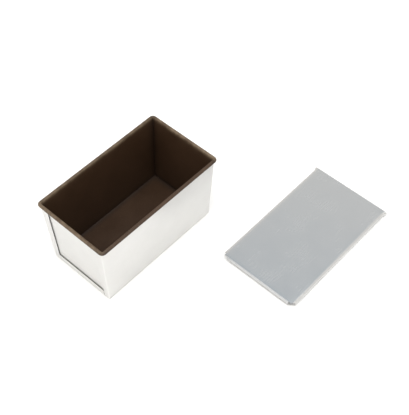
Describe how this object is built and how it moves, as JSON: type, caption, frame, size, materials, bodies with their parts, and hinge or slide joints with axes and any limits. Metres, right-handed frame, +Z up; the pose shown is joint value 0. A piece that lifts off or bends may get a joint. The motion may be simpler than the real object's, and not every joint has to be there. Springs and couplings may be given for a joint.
{
  "type": "lidded loaf pan",
  "caption": "Straight-sided loaf tin with folded end seams, a wired rim and a dark non-stick inside, with its flat slide-on lid lying beside it.",
  "frame": {"origin": "middle of the tin's underside, on the surface that the tin stands on", "axes": "+Z up; Y along the tin's length; the lid lies beside the tin on the +X side, its open end to +Y"},
  "size_m": [0.2855, 0.3482, 0.11],
  "materials": {
    "bright_sheet": "bright aluminised steel sheet, satin, outside of the tin",
    "nonstick_coating": "dark brown non-stick coating, semi-gloss, inside of the tin and over the rolled rim",
    "lid_sheet": "aluminised steel sheet, satin, fine rolling grain",
    "rim_wire": "drawn steel wire, sealed inside the rolled rim"
  },
  "bodies": {
    "tin": {"body_wrap": "bright_sheet", "end_panel_front": "bright_sheet", "end_panel_rear": "bright_sheet", "rim_wire": "rim_wire"},
    "loose_lid": {"lid": "lid_sheet"}
  },
  "joints": [
    {"name": "lid_lift", "type": "slide", "parent": "tin", "child": "loose_lid", "axis": [0, 0, 1], "range_m": [0, 0.15]}
  ]
}
